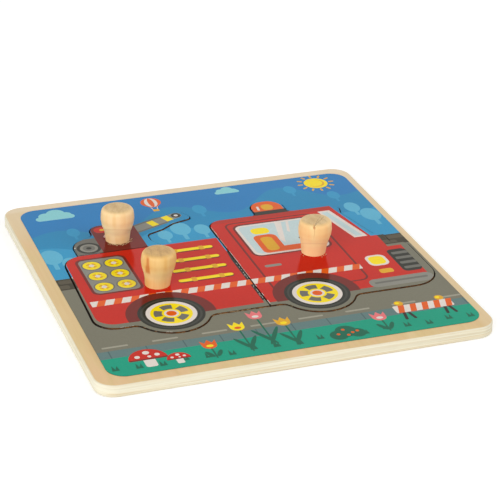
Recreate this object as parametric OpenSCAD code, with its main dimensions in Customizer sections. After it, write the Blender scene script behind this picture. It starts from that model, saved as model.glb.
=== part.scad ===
// Wooden peg puzzle: a square board with a picture pocket, and three lift-out tiles
// with turned pegs. The tiles and the pocket come from the same cut lines.
// Origin: middle of the board's underside. +X to the right of the picture,
// +Y to the top of the picture, +Z up. Millimetres.

/* [Board] */
// Side of the square board
board_size = 220; // [180:1:260]
// Radius of the board's corners
board_corner = 11; // [5:0.5:20]
// Thickness of the backing board
backing_t = 2.7; // [2:0.1:6]
// Thickness of the frame board that holds the pocket
frame_t = 4; // [3:0.5:8]
// Rounding of the board's outer edges
edge_ease = 0.8; // [0.3:0.1:1.5]

/* [Printed sheets] */
// Width of the bare wood left and right of the printed sheet
side_border = 6.5; // [4:0.5:9]
// Width of the bare wood above and below the printed sheet
end_border = 7.5; // [4:0.5:9]
// How far the sheet sits to the right of the board's middle
sheet_right = 1.7; // [-2:0.1:2]
// How far the sheet sits towards the picture's top from the board's middle
sheet_up = 0.1; // [-2:0.1:2]
// Radius of the printed sheet's corners
sheet_corner = 10; // [4:0.5:16]
// Thickness of a printed sheet
sheet_t = 0.15; // [0.1:0.05:0.4]

/* [Tiles] */
// Width of the cut around each tile
cut_gap = 0.8; // [0.4:0.1:2]
// How far a tile stands above the frame
tile_proud = 0.5; // [0.2:0.1:2]
// Height of the ground strip under the vehicle
ground_h = 48.3; // [45:0.1:56]
// Bare strip between the sheet's left edge and the rear tile
rear_margin = 6.8; // [3:0.1:20]
// Bare strip between the sheet's right edge and the cab tile
nose_margin = 1.8; // [1:0.1:10]

/* [Wheels] */
// Radius of the round foot that each wheel gives its tile
wheel_foot_r = 21.2; // [18:0.2:25]
// Height of the wheel's centre above the tile's bottom edge
wheel_rise = 7.6; // [2:0.2:10]
// Radius that blends a wheel's foot into the bottom edge
wheel_blend = 6; // [3:0.5:8]
// Rear wheel's distance from the rear tile's left edge
rear_wheel_x = 42.4; // [39:0.1:55]
// Cab wheel's distance from the cut between the tiles
cab_wheel_x = 29.5; // [27:0.1:45]

/* [Rear tile] */
// Length of the rear tile's body
rear_l = 95.8; // [85:0.1:105]
// Height of the rear tile's body
rear_h = 88.7; // [80:0.1:93]
// How far the rear tile's left side leans in at its top
rear_lean = 2.8; // [0:0.1:5]
// Radius of the rear tile's two left corners
rear_corner = 12; // [3:0.5:14]

/* [Cab tile] */
// Length of the cab, from the rear tile to the nose
cab_l = 102.6; // [92:0.1:110]
// Height of the cab, from the bottom edge to its roof
cab_h = 110.6; // [100:0.1:116]
// How far the cab's wheel and bumper hang below the bottom edge
cab_drop = 1.3; // [0:0.1:3]
// Radius of the roof's corner at the back
roof_back_corner = 9; // [3:0.5:14]
// Radius of the roof's corner over the windscreen
roof_front_corner = 5; // [2:0.5:8]
// Height of the windscreen's foot above the bottom edge
bonnet_h = 66.1; // [60:0.1:75]
// Setback of the windscreen's foot from the nose
screen_foot_x = 13.5; // [12:0.5:20]
// Setback of the windscreen's top from the nose
screen_top_x = 21.2; // [18:0.1:30]
// Setback of the roof's front end from the nose
roof_front_x = 18.2; // [16:0.1:21]
// Depth of the roof's front end over the windscreen
visor_h = 11; // [9:0.5:16]
// Setback of the bonnet's front from the nose
bonnet_x = 8.5; // [6:0.5:10]
// Radius of the bonnet's front corner
bonnet_corner = 3; // [1:0.5:3]
// Radius that blends the bonnet into the windscreen
screen_blend = 1.5; // [0.5:0.1:1.6]
// Height of the nose above the bottom edge
nose_h = 52.6; // [40:0.1:55]
// Radius of the nose's upper corner
nose_corner = 5; // [1:0.5:6]
// Radius of the nose's lower corner
bumper_corner = 17; // [4:0.5:20]
// Radius that blends one edge of the cab into the next
cab_blend = 3; // [1:0.5:3.5]
// Distance of the beacon's centre from the cut between the tiles
beacon_x = 41.6; // [30:0.1:50]
// Width of the beacon
beacon_w = 20.4; // [18:0.2:26]
// Height of the beacon above the roof
beacon_h = 17.5; // [12:0.5:20]
// Radius of the beacon's top corners
beacon_corner = 9; // [4:0.5:10]

/* [Boom tile] */
// Distance of the turret's left side from the rear tile's left edge
turret_x = 27; // [20:0.5:34]
// Width of the turret
turret_w = 31; // [26:0.5:36]
// Height of the turret above the rear tile
turret_h = 36; // [33:0.5:40]
// Radius of the turret's top corners
turret_corner = 8; // [3:0.5:10]
// Spread of the turret's foot to the right
foot_spread = 4; // [2:0.5:6]
// Height of the turret's foot
foot_h = 8; // [6:0.5:10]
// Reach of the round side case to the left of the turret
case_reach = 14.6; // [12:0.2:17]
// How far below the turret's top the side case joins it
case_drop = 12.5; // [12:0.5:15]
// Height of the side case at its left end
case_end_h = 15.9; // [13:0.1:18]
// Radius of the side case's corner
case_corner = 12; // [6:0.5:13]
// Height of the arm's root above the rear tile
arm_root_h = 24.5; // [23:0.5:26]
// Tilt of the arm above level, in degrees
arm_tilt = 22; // [18:1:26]
// Length of the arm beyond the turret
arm_length = 31.8; // [29:0.1:34]
// Width over the collar at the arm's root
collar_w = 16.8; // [15:0.2:18]
// Distance of the collar from the turret
collar_at = 8; // [7:0.5:9]
// Width at the arm's waist
waist_w = 11.8; // [10:0.2:13]
// Distance of the waist from the turret
waist_at = 18; // [17:0.5:20]
// Width at the arm's tip
tip_w = 14.8; // [13:0.2:16]
// Radius of the tip's corners
tip_corner = 3.5; // [2:0.5:4]
// Radius of the arm's other curves
arm_blend = 4; // [2:0.5:4]

/* [Pegs] */
// Height of a peg above its tile
peg_h = 20.4; // [18:0.2:30]
// Largest diameter of a peg
peg_d = 19.6; // [18.4:0.2:24]
// Diameter of a peg's foot
peg_foot_d = 13.8; // [11:0.2:14.6]
// Diameter of a peg's neck
peg_neck_d = 14.8; // [14:0.2:16]
// Height of the neck
peg_neck_h = 4.4; // [3:0.2:6]
// Diameter of a peg's shoulder
peg_shoulder_d = 18.2; // [16.4:0.2:19]
// Height of the shoulder
peg_shoulder_h = 11; // [9:0.2:12]
// Height of the widest part
peg_belly_h = 15.2; // [14:0.2:16]
// Diameter of the rounded top's upper corner
peg_top_d = 18.4; // [16:0.2:19.4]
// Radius of the peg's top edge
peg_edge = 3; // [1:0.2:3.4]
// Radius that softens the peg's curves
peg_blend = 8; // [2:0.5:10]
// Diameter of the peg's spigot
spigot_d = 8; // [6:0.5:10]
// Glue room round the spigot
spigot_clearance = 0.05; // [0.02:0.01:0.2]
// How far the spigot stops short of the tile's underside
spigot_short = 0.3; // [0.1:0.1:1]
// Rear peg's distance from the rear tile's left edge
rear_peg_x = 45.4; // [30:0.1:60]
// Rear peg's height above the bottom edge
rear_peg_y = 42.8; // [30:0.1:60]
// Cab peg's distance from the cut between the tiles
cab_peg_x = 46.3; // [30:0.1:60]
// Cab peg's height above the bottom edge
cab_peg_y = 55; // [40:0.1:70]
// Boom peg's distance from the turret's left side
boom_peg_x = 12.8; // [11:0.1:20]
// Boom peg's height above the rear tile
boom_peg_y = 14.7; // [10:0.1:22]

/* [Hidden] */
$fn = 64;

// Colours
plywood = [0.90, 0.80, 0.62];
backing_wood = [0.85, 0.74, 0.55];
peg_wood = [0.93, 0.75, 0.50];
sky_blue = [0.28, 0.52, 0.73];
truck_red = [0.75, 0.18, 0.16];

// Turn of an arc per straight step, in degrees
arc_step = 9;
// Overshoot of a cutter past the face that it leaves
overshoot = 1;

// Levels
frame_top = backing_t + frame_t;
tile_t = frame_t + tile_proud;
tile_top = backing_t + tile_t;
peg_seat = tile_top + sheet_t;

// The printed sheet, and the scale at which the vehicle and its margins fill its width
sheet_half = [board_size / 2 - side_border, board_size / 2 - end_border];
sheet_at = [sheet_right, sheet_up];
drawn_w = rear_margin + rear_l + cab_l + nose_margin;
fit = 2 * sheet_half[0] / drawn_w;

// Lines of the drawing, measured from the sheet's middle
ground_y = ground_h - sheet_half[1] / fit;
bumper_y = ground_y - cab_drop;
rear_left = rear_margin - drawn_w / 2;
rear_top = ground_y + rear_h;
split_x = rear_left + rear_l;
nose = split_x + cab_l;
roof_y = ground_y + cab_h;
bonnet_y = ground_y + bonnet_h;
nose_y = ground_y + nose_h;
rear_wheel_at = [rear_left + rear_wheel_x, ground_y + wheel_rise];
cab_wheel_at = [split_x + cab_wheel_x, bumper_y + wheel_rise];
beacon_mid = split_x + beacon_x;
turret_left = rear_left + turret_x;
turret_right = turret_left + turret_w;
turret_top = rear_top + turret_h;

// Peg places on the board
rear_peg_at = sheet_at + fit * [rear_left + rear_peg_x, ground_y + rear_peg_y];
cab_peg_at = sheet_at + fit * [split_x + cab_peg_x, ground_y + cab_peg_y];
boom_peg_at = sheet_at + fit * [turret_left + boom_peg_x, rear_top + boom_peg_y];

// Outline geometry

function unit(v) = v / norm(v);

function arc(centre, r, from, sweep) =
    let (steps = max(2, ceil(abs(sweep) / arc_step)))
    [for (k = [0 : steps]) centre + r * [cos(from + sweep * k / steps), sin(from + sweep * k / steps)]];

// Points that round the corner at b, given as [x, y, radius], between its neighbours a and c
function rounded_corner(a, b, c) =
    let (at = [b[0], b[1]])
    b[2] == 0 ? [at] :
    let (
        back = unit([a[0], a[1]] - at),
        ahead = unit([c[0], c[1]] - at),
        half = acos(back * ahead) / 2,
        centre = at + unit(back + ahead) * b[2] / sin(half),
        first = at + back * b[2] / tan(half) - centre,
        side = cross(back, ahead) < 0 ? 1 : -1
    )
    arc(centre, b[2], atan2(first[1], first[0]), side * (180 - 2 * half));

function rounded(corners) =
    let (n = len(corners))
    [for (i = [0 : n - 1]) each rounded_corner(corners[(i + n - 1) % n], corners[i], corners[(i + 1) % n])];

// The same outline moved outwards by a distance, or inwards where it is negative
function parallel(points, distance) =
    let (n = len(points))
    [for (i = [0 : n - 1])
        let (
            along_in = unit(points[i] - points[(i + n - 1) % n]),
            along_out = unit(points[(i + 1) % n] - points[i]),
            out_in = [along_in[1], -along_in[0]],
            out_out = [along_out[1], -along_out[0]]
        )
        points[i] + distance * (out_in + out_out) / (1 + out_in * out_out)
    ];

function without_ends(points) = [for (k = [1 : len(points) - 2]) points[k]];

function as_corners(points) = [for (p = points) [p[0], p[1], 0]];

// Points of the drawing, at their place on the board
function on_board(points) = [for (p = points) sheet_at + fit * p];

// Angle below level at which a wheel's foot meets the blend that leads to the bottom edge
function foot_slope(wheel, edge_y) = asin((wheel[1] - edge_y + wheel_blend) / (wheel_foot_r + wheel_blend));

// The bottom edge's dip round a wheel, from its level on the left to its level on the right
function wheel_foot(wheel, left_y, right_y) =
    let (
        reach = wheel_foot_r + wheel_blend,
        left = foot_slope(wheel, left_y),
        right = foot_slope(wheel, right_y)
    )
    as_corners(concat(
        arc(wheel + reach * [-cos(left), -sin(left)], wheel_blend, 90, left - 90),
        without_ends(arc(wheel, wheel_foot_r, 180 + left, 180 - left - right)),
        arc(wheel + reach * [cos(right), -sin(right)], wheel_blend, 180 - right, right - 90)
    ));

// Cut lines of the three tiles on the board, anticlockwise

rear_cut = on_board(rounded(concat(
    [[rear_left, ground_y, rear_corner]],
    wheel_foot(rear_wheel_at, ground_y, ground_y),
    [
        [split_x, ground_y, 0],
        [split_x, rear_top, 0],
        [rear_left + rear_lean, rear_top, rear_corner],
    ]
)));

cab_cut = on_board(rounded(concat(
    [[split_x, ground_y, 0]],
    wheel_foot(cab_wheel_at, ground_y, bumper_y),
    [
        [nose, bumper_y, bumper_corner],
        [nose, nose_y, nose_corner],
        [nose - bonnet_x, nose_y, cab_blend],
        [nose - bonnet_x, bonnet_y, bonnet_corner],
        [nose - screen_foot_x, bonnet_y, screen_blend],
        [nose - screen_top_x, roof_y - visor_h, cab_blend],
        [nose - roof_front_x, roof_y, roof_front_corner],
        [beacon_mid + beacon_w / 2, roof_y, cab_blend],
        [beacon_mid + beacon_w / 2, roof_y + beacon_h, beacon_corner],
        [beacon_mid - beacon_w / 2, roof_y + beacon_h, beacon_corner],
        [beacon_mid - beacon_w / 2, roof_y, cab_blend],
        [split_x, roof_y, roof_back_corner],
    ]
)));

// Corner of the arm: distance out from the turret, distance to its right hand, radius
function arm_corner(out, right, r) =
    [
        turret_right + out * cos(arm_tilt) + right * sin(arm_tilt),
        rear_top + arm_root_h + out * sin(arm_tilt) - right * cos(arm_tilt),
        r,
    ];

// Height at which a side of the arm meets the turret's flank
function arm_meets(right) = rear_top + arm_root_h - right / cos(arm_tilt);

boom_cut = on_board(rounded([
    [turret_left - case_reach, rear_top, 0],
    [turret_right + foot_spread, rear_top, 0],
    [turret_right, rear_top + foot_h, arm_blend],
    [turret_right, arm_meets(collar_w / 2), arm_blend],
    arm_corner(collar_at, collar_w / 2, arm_blend),
    arm_corner(waist_at, waist_w / 2, arm_blend),
    arm_corner(arm_length, tip_w / 2, tip_corner),
    arm_corner(arm_length, -tip_w / 2, tip_corner),
    arm_corner(waist_at, -waist_w / 2, arm_blend),
    arm_corner(collar_at, -collar_w / 2, arm_blend),
    [turret_right, turret_top, turret_corner],
    [turret_left, turret_top, turret_corner],
    [turret_left, turret_top - case_drop, arm_blend],
    [turret_left - case_reach, rear_top + case_end_h, case_corner],
]));

// Shared shapes

// Square plate with round corners and eased outer edges, standing on z = 0
module eased_plate(thick, top_ease, bottom_ease) {
    flat = board_size - 2 * board_corner;
    profile = rounded([
        [0, 0, 0],
        [board_corner, 0, bottom_ease],
        [board_corner, thick, top_ease],
        [0, thick, 0],
    ]);
    translate([-flat / 2, -flat / 2, 0]) cube([flat, flat, thick]);
    for (side = [0 : 3])
        rotate(90 * side) translate([flat / 2, flat / 2, 0]) {
            rotate_extrude(angle = 90) polygon(profile);
            rotate([90, 0, 0]) linear_extrude(flat) polygon(profile);
        }
}

// The pocket: the three cut lines, each opened by half of the cut's width
module pocket_outline() {
    for (cut = [rear_cut, cab_cut, boom_cut]) polygon(parallel(cut, cut_gap / 2));
}

module tile_layer(cut, peg_at, z, thick) {
    translate([0, 0, z]) difference() {
        linear_extrude(thick) polygon(parallel(cut, -cut_gap / 2));
        translate([peg_at[0], peg_at[1], -overshoot])
            cylinder(d = spigot_d + 2 * spigot_clearance, h = thick + 2 * overshoot);
    }
}

module tile(cut, peg_at) tile_layer(cut, peg_at, backing_t, tile_t);

module tile_print(cut, peg_at) tile_layer(cut, peg_at, tile_top, sheet_t);

// Turned peg with a spigot that is glued through its tile
module peg(at) {
    profile = rounded([
        [0, 0, 0],
        [peg_foot_d / 2, 0, 0],
        [peg_neck_d / 2, peg_neck_h, peg_blend],
        [peg_shoulder_d / 2, peg_shoulder_h, peg_blend],
        [peg_d / 2, peg_belly_h, peg_blend],
        [peg_top_d / 2, peg_h, peg_edge],
        [0, peg_h, 0],
    ]);
    spigot_h = tile_t + sheet_t - spigot_short;
    translate([at[0], at[1], peg_seat]) {
        rotate_extrude() polygon(profile);
        translate([0, 0, -spigot_h]) cylinder(d = spigot_d, h = spigot_h);
    }
}

// Pieces

module backing_board() color(backing_wood) eased_plate(backing_t, 0, edge_ease);

module frame_board() color(plywood) translate([0, 0, backing_t]) difference() {
    eased_plate(frame_t, edge_ease, 0);
    translate([0, 0, -overshoot]) linear_extrude(frame_t + 2 * overshoot) pocket_outline();
}

module frame_print() color(sky_blue) translate([0, 0, frame_top]) linear_extrude(sheet_t) difference() {
    polygon(rounded([for (c = [[-1, -1], [1, -1], [1, 1], [-1, 1]])
        [sheet_right + c[0] * sheet_half[0], sheet_up + c[1] * sheet_half[1], sheet_corner]]));
    pocket_outline();
}

module rear_tile() color(plywood) tile(rear_cut, rear_peg_at);

module rear_print() color(truck_red) tile_print(rear_cut, rear_peg_at);

module rear_peg() color(peg_wood) peg(rear_peg_at);

module cab_tile() color(plywood) tile(cab_cut, cab_peg_at);

module cab_print() color(truck_red) tile_print(cab_cut, cab_peg_at);

module cab_peg() color(peg_wood) peg(cab_peg_at);

module boom_tile() color(plywood) tile(boom_cut, boom_peg_at);

module boom_print() color(sky_blue) tile_print(boom_cut, boom_peg_at);

module boom_peg() color(peg_wood) peg(boom_peg_at);

backing_board();
frame_board();
frame_print();
rear_tile();
rear_print();
rear_peg();
cab_tile();
cab_print();
cab_peg();
boom_tile();
boom_print();
boom_peg();
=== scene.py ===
"""Looks of a wooden peg puzzle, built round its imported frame.
Sizes on the puzzle are in millimetres, and colours are in steps of 0 to 255."""

import math
import random

import bmesh
import bpy
from mathutils import Matrix, Vector
from mathutils.geometry import delaunay_2d_cdt


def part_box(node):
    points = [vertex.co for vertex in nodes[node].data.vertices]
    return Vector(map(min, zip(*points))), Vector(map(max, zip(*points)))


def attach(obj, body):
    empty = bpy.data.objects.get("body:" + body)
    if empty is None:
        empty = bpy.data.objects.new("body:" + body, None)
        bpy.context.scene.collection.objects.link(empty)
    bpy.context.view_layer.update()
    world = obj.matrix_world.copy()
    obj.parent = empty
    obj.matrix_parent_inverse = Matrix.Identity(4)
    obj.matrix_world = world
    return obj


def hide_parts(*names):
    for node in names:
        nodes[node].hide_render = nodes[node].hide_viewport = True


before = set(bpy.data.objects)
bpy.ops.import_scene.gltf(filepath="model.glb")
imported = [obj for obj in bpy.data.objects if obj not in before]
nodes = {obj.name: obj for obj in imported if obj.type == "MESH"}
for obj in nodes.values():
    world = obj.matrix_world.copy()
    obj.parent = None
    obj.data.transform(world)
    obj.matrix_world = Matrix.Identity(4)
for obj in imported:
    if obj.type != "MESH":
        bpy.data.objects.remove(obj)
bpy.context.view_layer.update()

MM = 0.001

# Directions on the board that run to the right and away in the main view
VIEW_TURN = math.radians(19.63)
VIEW_RIGHT = Vector((math.cos(VIEW_TURN), -math.sin(VIEW_TURN)))
VIEW_AWAY = Vector((math.sin(VIEW_TURN), math.cos(VIEW_TURN)))


def linear(colour):
    """A colour as linear light."""
    shares = [c / 255 for c in colour]
    return tuple(s / 12.92 if s < 0.04045 else ((s + 0.055) / 1.055) ** 2.4 for s in shares)


class Finish:
    """A material, with short ways to add nodes to it."""

    def __init__(self, name, roughness, ior):
        self.material = bpy.data.materials.new(name)
        self.material.use_nodes = True
        self.tree = self.material.node_tree
        self.surface = self.tree.nodes["Principled BSDF"]
        self.surface.inputs["Roughness"].default_value = roughness
        self.surface.inputs["IOR"].default_value = ior
        self.measure_from(self.add("ShaderNodeTexCoord").outputs["Object"])
        facing = self.add("ShaderNodeNewGeometry").outputs["Normal"]
        self.east, _, self.up = self.axes(facing)

    def add(self, kind):
        return self.tree.nodes.new(kind)

    def put(self, socket, value):
        """Links a socket to another, or sets it to a number or a colour."""
        if isinstance(value, bpy.types.NodeSocket):
            self.tree.links.new(value, socket)
        elif isinstance(value, tuple) and len(socket.default_value) == 4:
            socket.default_value = (*value, 1)
        else:
            socket.default_value = value

    def axes(self, vector):
        node = self.add("ShaderNodeSeparateXYZ")
        self.put(node.inputs[0], vector)
        return node.outputs[0], node.outputs[1], node.outputs[2]

    def measure_from(self, place):
        self.place = place
        self.x, self.y, self.z = self.axes(place)

    def moved(self, scale, shift):
        """The place times scale, plus shift."""
        node = self.add("ShaderNodeVectorMath")
        node.operation = "MULTIPLY_ADD"
        for socket, value in zip(node.inputs, (self.place, scale, shift)):
            self.put(socket, value)
        return node.outputs[0]

    def math(self, operation, *values):
        node = self.add("ShaderNodeMath")
        node.operation = operation
        for socket, value in zip(node.inputs, values):
            self.put(socket, value)
        return node.outputs[0]

    def times(self, first, *others):
        """The product of these values."""
        for other in others:
            first = self.math("MULTIPLY", first, other)
        return first

    def total(self, *pairs):
        """The sum of values, each times its weight."""
        first, *others = [self.times(value, weight) for value, weight in pairs]
        for other in others:
            first = self.math("ADD", first, other)
        return first

    def off(self, value, line):
        """How far a value is from a line, to either side."""
        return self.math("ABSOLUTE", self.math("SUBTRACT", value, line))

    def distance(self, x, y):
        """How far a place is from the origin."""
        squares = [self.math("POWER", value, 2.0) for value in (x, y)]
        return self.math("SQRT", self.math("ADD", *squares))

    def noise(self, cells, shift, detail, distortion=0.0):
        """Noise with this many cells to the metre along each axis."""
        node = self.add("ShaderNodeTexNoise")
        self.put(node.inputs["Vector"], self.moved(cells, shift))
        node.inputs["Scale"].default_value = 1
        node.inputs["Detail"].default_value = detail
        node.inputs["Distortion"].default_value = distortion
        return node.outputs["Fac"]

    def sway(self, cells, shift, detail, size):
        """A distance that wanders about zero, over this many millimetres in all."""
        return self.times(self.math("SUBTRACT", self.noise(cells, shift, detail), 0.5), size * MM)

    def step(self, value, low, high):
        """0 below low and 1 above high, smooth between them. High may be the smaller."""
        node = self.add("ShaderNodeMapRange")
        node.interpolation_type = "SMOOTHSTEP"
        for socket, number in zip(node.inputs, (value, low, high, 0, 1)):
            self.put(socket, number)
        return node.outputs[0]

    def step_mm(self, value, low, high):
        """A step between two lengths in millimetres."""
        return self.step(value, low * MM, high * MM)

    def ramp(self, value, *stops):
        """Colours along a value. A stop is its place and its colour."""
        node = self.add("ShaderNodeValToRGB")
        self.put(node.inputs[0], value)
        elements = node.color_ramp.elements
        while len(elements) < len(stops):
            elements.new(1)
        for element, (at, colour) in zip(elements, stops):
            element.position = at
            element.color = (*linear(colour), 1)
        return node.outputs[0]

    def blend(self, share, first, second, mode="MIX"):
        node = self.add("ShaderNodeMix")
        node.data_type = "RGBA"
        node.blend_type = mode
        self.put(node.inputs[0], share)
        self.put(node.inputs[6], first)
        self.put(node.inputs[7], second)
        return node.outputs[2]

    def tint(self, base, colour, where, share):
        """The base with this share of a colour where the mask is 1, and none where it is 0."""
        return self.blend(self.times(where, share), base, linear(colour))

    def colour(self, value):
        self.put(self.surface.inputs["Base Color"], value)

    def roughness(self, value, low, high):
        """Roughness from low to high as the value goes from 0 to 1."""
        node = self.add("ShaderNodeMapRange")
        for socket, number in zip(node.inputs, (value, 0, 1, low, high)):
            self.put(socket, number)
        self.put(self.surface.inputs["Roughness"], node.outputs[0])

    def bump(self, height, depth, strength):
        """Relief of this depth in millimetres."""
        node = self.add("ShaderNodeBump")
        node.inputs["Distance"].default_value = depth * MM
        node.inputs["Strength"].default_value = strength
        self.put(node.inputs["Height"], height)
        self.put(self.surface.inputs["Normal"], node.outputs[0])


def dress(node, finish):
    """Gives a node of the frame this finish."""
    slots = nodes[node].data.materials
    slots.clear()
    slots.append(finish.material)


def piece(name, mesh, finish, body):
    """A new piece of the puzzle, which moves with a body."""
    made = bpy.data.objects.new(name, mesh)
    bpy.context.scene.collection.objects.link(made)
    mesh.materials.append(finish.material)
    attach(made, body)
    return made


# Plywood

VENEER = ((0.30, (210, 176, 121)), (0.50, (216, 185, 131)), (0.70, (221, 193, 141)))
LAYERS = ((0.32, (214, 204, 174)), (0.48, (227, 220, 196)), (0.64, (236, 232, 212)))
BURNT = ((0.30, (30, 17, 6)), (0.50, (100, 60, 24)), (0.68, (158, 104, 50)))
ROSY_VENEER = (226, 184, 140)
HONEY_VENEER = (214, 188, 130)
# Paler veneer: the wood's own tone at the right edge, and a painted reflection towards the far edge
PALE_VENEER = (226, 207, 176)
TAN_VENEER = (236, 216, 184)
VENEER_PORE = (186, 144, 96)
TAN_LAYER = (240, 222, 194)
LAYER_FIBRE = (214, 190, 146)
BARE_EDGE = (206, 178, 134)

# All walls within this reach of the board's middle are the pocket's
POCKET_REACH, POCKET_FADE = 105.2, 0.4
# Where a tile's edge is bare, that fades out over this much
BARE_FADE = 4
# Stains of ink fade in between these heights, and drip lower by up to this much
STAIN_LOW, STAIN_HIGH = 6.8, 7.3
STAIN_DRIP = 2.4


def veneer(f, shift):
    """Sanded face veneer with its grain along Y, paler towards the board's right edge, and with a painted
    reflection that makes it paler towards the far edge.
    """
    streaks = f.noise((300, 8, 300), shift, detail=4, distortion=0.4)
    figure = f.noise((45, 6, 45), shift, detail=3, distortion=1.2)
    face = f.ramp(f.total((streaks, 0.5), (figure, 0.5)), *VENEER)
    patches = f.noise((70, 22, 70), (4, 6, 8), detail=2, distortion=0.8)
    face = f.tint(face, ROSY_VENEER, f.step(patches, 0.5, 0.7), share=0.5)
    face = f.tint(face, HONEY_VENEER, f.step(patches, 0.5, 0.3), share=0.5)
    # Painted reflection: paler towards the far edge. The paler right edge is the wood's own tone.
    far, far_edge_sheen = f.step_mm(f.y, 40, 100), f.step_mm(f.y, 101, 105)
    right_edge = f.step_mm(f.x, 98, 105)
    paler = f.total((far, 0.5), (far_edge_sheen, 0.4), (right_edge, 0.3))
    face = f.blend(paler, face, linear(PALE_VENEER))
    pores = f.noise((2600, 90, 2600), shift, detail=2)
    return f.tint(face, VENEER_PORE, f.step(pores, 0.66, 0.80), share=0.2)


def layers(f, shift, tan):
    """Plywood seen at its edge: pale layers with long streaks, some of them tan."""
    streaks = f.noise((26, 26, 2100), shift, detail=4)
    broad = f.noise((10, 10, 700), shift, detail=2)
    pale = f.ramp(f.total((streaks, 0.5), (broad, 0.5)), *LAYERS)
    fibres = f.noise((1500, 1500, 3000), shift, detail=2)
    pale = f.tint(pale, LAYER_FIBRE, f.step(fibres, 0.55, 0.8), share=0.3)
    return f.blend(tan, pale, linear(TAN_LAYER), "MULTIPLY")


def leftward(f):
    """1 where the surface faces left."""
    return f.step(f.east, -0.3, -0.8)


def charred(f, shift, bare):
    """Edge browned by the cutting beam, with painted shade that darkens the walls facing left. The more
    bare, the more pale wood shows through.
    """
    burn_and_shade = f.noise((380, 380, 900), shift, detail=4)
    # Painted shade: walls that face left are darker
    burn_and_shade = f.math("SUBTRACT", burn_and_shade, f.times(leftward(f), 0.25))
    specks = f.math("ADD", f.noise((430, 430, 1500), shift, detail=3), bare)
    return f.tint(f.ramp(burn_and_shade, *BURNT), BARE_EDGE, f.step(specks, 0.62, 0.70), share=0.75)


def stained(f, edge, stains):
    """An edge with places where ink has run down a little from its top.
    A stain is its span along X, its lower end along Y and its colour."""
    drips = f.times(f.noise((500, 500, 60), (5, 2, 7), detail=2), STAIN_DRIP * MM)
    height = f.math("ADD", f.z, drips)
    for left, right, low, colour in stains:
        where = f.times(
            f.step_mm(f.x, left, left + 1),
            f.step_mm(f.x, right, right - 1),
            f.step_mm(f.y, low, low + 1),
            f.step_mm(height, STAIN_LOW, STAIN_HIGH),
        )
        edge = f.tint(edge, colour, where, share=0.85)
    return edge


def board_finish(name, shift, tan_face, tan_edge, stains):
    """Plywood board: veneer on its flat faces, layers on its outer edge, and pocket walls browned by the
    cutting beam, with painted shade on those that face left.
    Its faces and its edge are tan by these shares, and the outer edge is less tan where it faces left, as
    painted light."""
    f = Finish(name, roughness=0.5, ior=1.34)
    streaks = f.step(f.noise((8, 8, 900), shift, detail=2), 0.4, 0.6)
    # Painted light: the edge that faces left is less tan, so paler than the other edges
    elsewhere = f.math("SUBTRACT", 1.0, f.times(leftward(f), 0.8))
    side = layers(f, shift, f.times(streaks, tan_edge, elsewhere))
    reach = f.math("MAXIMUM", f.math("ABSOLUTE", f.x), f.math("ABSOLUTE", f.y))
    in_pocket = f.step_mm(reach, POCKET_REACH + POCKET_FADE, POCKET_REACH)
    side = f.blend(in_pocket, side, stained(f, charred(f, shift, -0.1), stains))
    face = f.blend(tan_face, veneer(f, shift), linear(TAN_VENEER), "MULTIPLY")
    flat = f.step(f.math("ABSOLUTE", f.up), 0.94, 0.9995)
    f.colour(f.blend(flat, side, face))
    grain = f.noise((700, 20, 2600), shift, detail=4)
    f.roughness(grain, low=0.38, high=0.62)
    f.bump(grain, depth=0.05, strength=0.35)
    return f


def tile_finish(name, stains=(), bare_at=None, bare_reach=0):
    """Plywood tile: edges browned by the cutting beam, with painted shade where they face left, and veneer
    on its underside.
    Where a bare place is given, the edges are paler within a reach to either side of it."""
    f = Finish(name + "_plywood", roughness=0.6, ior=1.42)
    bare = 0.0
    if bare_at is not None:
        near = f.step_mm(f.off(f.x, bare_at * MM), bare_reach + BARE_FADE, bare_reach)
        bare = f.times(near, 0.12)
    edge = stained(f, charred(f, (4, 9, 2), bare), stains)
    flat = f.step(f.math("ABSOLUTE", f.up), 0.8, 0.95)
    f.colour(f.blend(flat, edge, veneer(f, (3, 1, 7))))
    f.bump(f.noise((600, 600, 1800), (4, 9, 2), detail=4), depth=0.08, strength=0.5)
    return f


# The beacon's edge and the pocket's wall beside it are stained by the sky's ink
BEACON_SPAN = (28, 58, 58)
board_stains = [(*BEACON_SPAN, (44, 92, 128))]
cab_stains = [(*BEACON_SPAN, (46, 84, 116))]
boom_stains = [(-70, -36, 30, (112, 38, 28)), (-90, -69, 30, (116, 146, 160))]

dress("backing_board", board_finish("backing_plywood", (1, 5, 3), 0.35, 0.7, board_stains))
dress("frame_board", board_finish("frame_plywood", (7, 2, 9), 0.0, 0.25, board_stains))
dress("rear_tile", tile_finish("rear_tile", bare_at=-15, bare_reach=14))
dress("cab_tile", tile_finish("cab_tile", cab_stains))
dress("boom_tile", tile_finish("boom_tile", boom_stains, bare_at=-57))


# Pegs

PEG_SIDES = 96
SPIGOT_RADIUS = 4
FILLET_STEPS = 8
# Waves round a peg that is out of round, and the share of the radius that each adds
WOBBLE = ((2, 0.007), (3, 0.004), (7, 0.0015))
SHARP_EDGE = math.radians(40)

PALE_END = ((0.30, (188, 151, 98)), (0.48, (208, 176, 123)), (0.66, (224, 195, 146)))
DARK_END = ((0.30, (172, 129, 76)), (0.48, (202, 160, 97)), (0.66, (217, 178, 114)))
RESIN = ((0.2, (200, 122, 58)), (0.9, (220, 152, 84)))
PEG_FLECK = (206, 152, 94)
# Darker line of the turning mark, painted as the shade of its small step
TOOL_MARK_SHADE = (200, 150, 96)
# Painted light that makes the cab peg paler towards its foot, against the shade low on the peg
PAINTED_FOOT_LIGHT = (255, 232, 176)
CRACK = (118, 80, 46)
# Darker line of the crack's furrow down the front, painted as its shade
CRACK_GROOVE_SHADE = (206, 146, 86)
CRACK_CHIP = (196, 120, 60)
# How much paler and less pink a peg's waist is painted than its pale colour: painted light against the shade
# and red bounce light the waist gets
WAIST_PALER = (4, 22, 26)


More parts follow.
